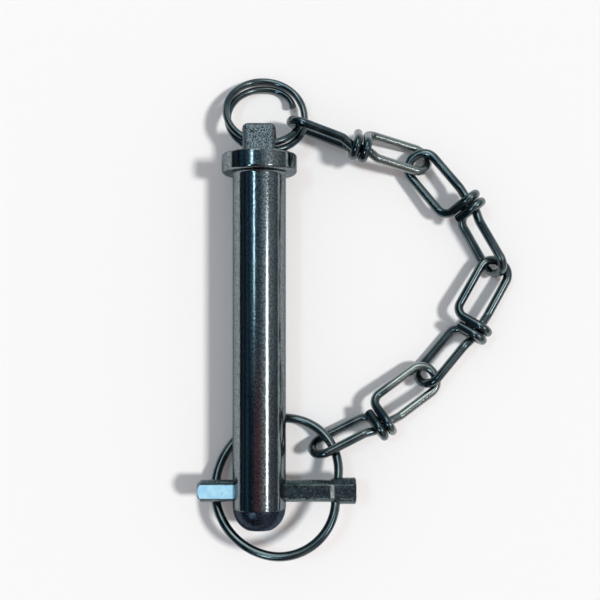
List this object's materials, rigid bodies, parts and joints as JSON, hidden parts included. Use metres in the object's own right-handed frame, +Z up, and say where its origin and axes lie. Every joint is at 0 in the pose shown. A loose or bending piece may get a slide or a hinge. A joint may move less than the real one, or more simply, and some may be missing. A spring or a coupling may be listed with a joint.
{
  "type": "hitch pin",
  "caption": "Steel drawbar hitch pin with a collar and a cross hole, kept together with its ringed linch pin by a short chain of knotted wire links.",
  "frame": {"origin": "centre of the collar's underside, on the shank's axis", "axes": "+Y along the shank's axis towards the tang, +X along the linch pin towards its head, +Z up, with the pin lying down"},
  "size_m": [0.1137, 0.1739, 0.0268],
  "materials": {
    "pin_steel": "bright zinc plate over turned and forged steel",
    "wire_steel": "bright zinc plate over drawn wire"
  },
  "bodies": {
    "hitch_pin": {"hitch_pin": "pin_steel"},
    "split_ring": {"split_ring": "wire_steel"},
    "chain_link_1": {"chain_link_1": "wire_steel"},
    "chain_link_2": {"chain_link_2": "wire_steel"},
    "chain_link_3": {"chain_link_3": "wire_steel"},
    "chain_link_4": {"chain_link_4": "wire_steel"},
    "linch_pin": {"linch_pin": "pin_steel"},
    "linch_ring": {"linch_ring": "wire_steel"}
  },
  "joints": [
    {"name": "linch_pin_slide", "type": "slide", "parent": "hitch_pin", "child": "linch_pin", "axis": [1, 0, 0], "range_m": [0, 0.031]},
    {"name": "linch_ring_swing", "type": "hinge", "parent": "linch_pin", "child": "linch_ring", "pos_m": [0.0276, -0.11265, 0], "axis": [-0.1097, -0.9474, 0.3005], "range_deg": [0, 49.6]},
    {"name": "split_ring_sway", "type": "hinge", "parent": "hitch_pin", "child": "split_ring", "pos_m": [0.0045, 0.00995, 0.0005], "axis": [-0.2034, 0.0788, -0.9759], "range_deg": [0, 2.1]},
    {"name": "chain_link_1_turn", "type": "hinge", "parent": "split_ring", "child": "chain_link_1", "pos_m": [0.01295, 0.01889, -0.00395], "axis": [-0.6507, 0.589, 0.4792], "range_deg": [0, 13.5]},
    {"name": "chain_link_2_turn", "type": "hinge", "parent": "chain_link_1", "child": "chain_link_2", "pos_m": [0.05853, 0.00667, -0.0091], "axis": [-0.055, -0.9587, 0.2792], "range_deg": [0, 53.9]},
    {"name": "chain_link_3_turn", "type": "hinge", "parent": "chain_link_2", "child": "chain_link_3", "pos_m": [0.087, -0.03247, -0.00768], "axis": [-0.6314, -0.1667, -0.7574], "range_deg": [0, 4.1]},
    {"name": "chain_link_4_turn", "type": "hinge", "parent": "chain_link_3", "child": "chain_link_4", "pos_m": [0.06076, -0.0724, -0.00754], "axis": [-0.7473, 0.342, -0.5697], "range_deg": [0, 2.1]}
  ],
  "couplings": [
    {"joint": "linch_ring_swing", "follows": "linch_pin_slide", "rad_per_m": 27.892},
    {"joint": "split_ring_sway", "follows": "linch_pin_slide", "rad_per_m": 1.141},
    {"joint": "chain_link_1_turn", "follows": "linch_pin_slide", "rad_per_m": 7.5546},
    {"joint": "chain_link_2_turn", "follows": "linch_pin_slide", "rad_per_m": 30.298},
    {"joint": "chain_link_3_turn", "follows": "linch_pin_slide", "rad_per_m": 2.307},
    {"joint": "chain_link_4_turn", "follows": "linch_pin_slide", "rad_per_m": 1.175}
  ]
}
